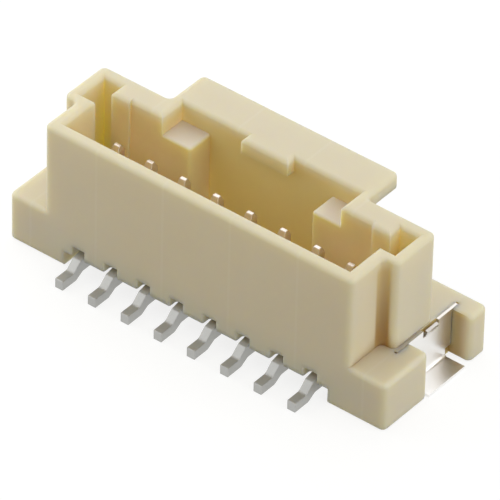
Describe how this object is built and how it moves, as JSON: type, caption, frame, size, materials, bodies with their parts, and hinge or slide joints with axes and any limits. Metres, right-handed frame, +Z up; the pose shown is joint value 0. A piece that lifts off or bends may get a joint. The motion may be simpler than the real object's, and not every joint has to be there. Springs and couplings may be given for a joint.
{
  "type": "smd pin header",
  "caption": "Shrouded surface-mount pin header: a row of square posts in a moulded housing with a latch chamber, end flanges and solder-down fitting nails.",
  "frame": {"origin": "centre of the footprint, on the board plane", "axes": "+X along the row of posts, +Y from the solder leads towards the latch side, +Z up from the board"},
  "size_m": [0.0228, 0.0094, 0.0079],
  "materials": {
    "housing_plastic": "natural ivory high-temperature plastic, slightly translucent, fine satin skin",
    "terminal_metal": "satin tin plating",
    "nail_metal": "smooth tin plating on thin rolled sheet"
  },
  "bodies": {
    "root": {"housing": "housing_plastic", "terminal_1": "terminal_metal", "terminal_2": "terminal_metal", "terminal_3": "terminal_metal", "terminal_4": "terminal_metal", "terminal_5": "terminal_metal", "terminal_6": "terminal_metal", "terminal_7": "terminal_metal", "terminal_8": "terminal_metal", "fitting_nail_left": "nail_metal", "fitting_nail_right": "nail_metal"}
  },
  "joints": []
}
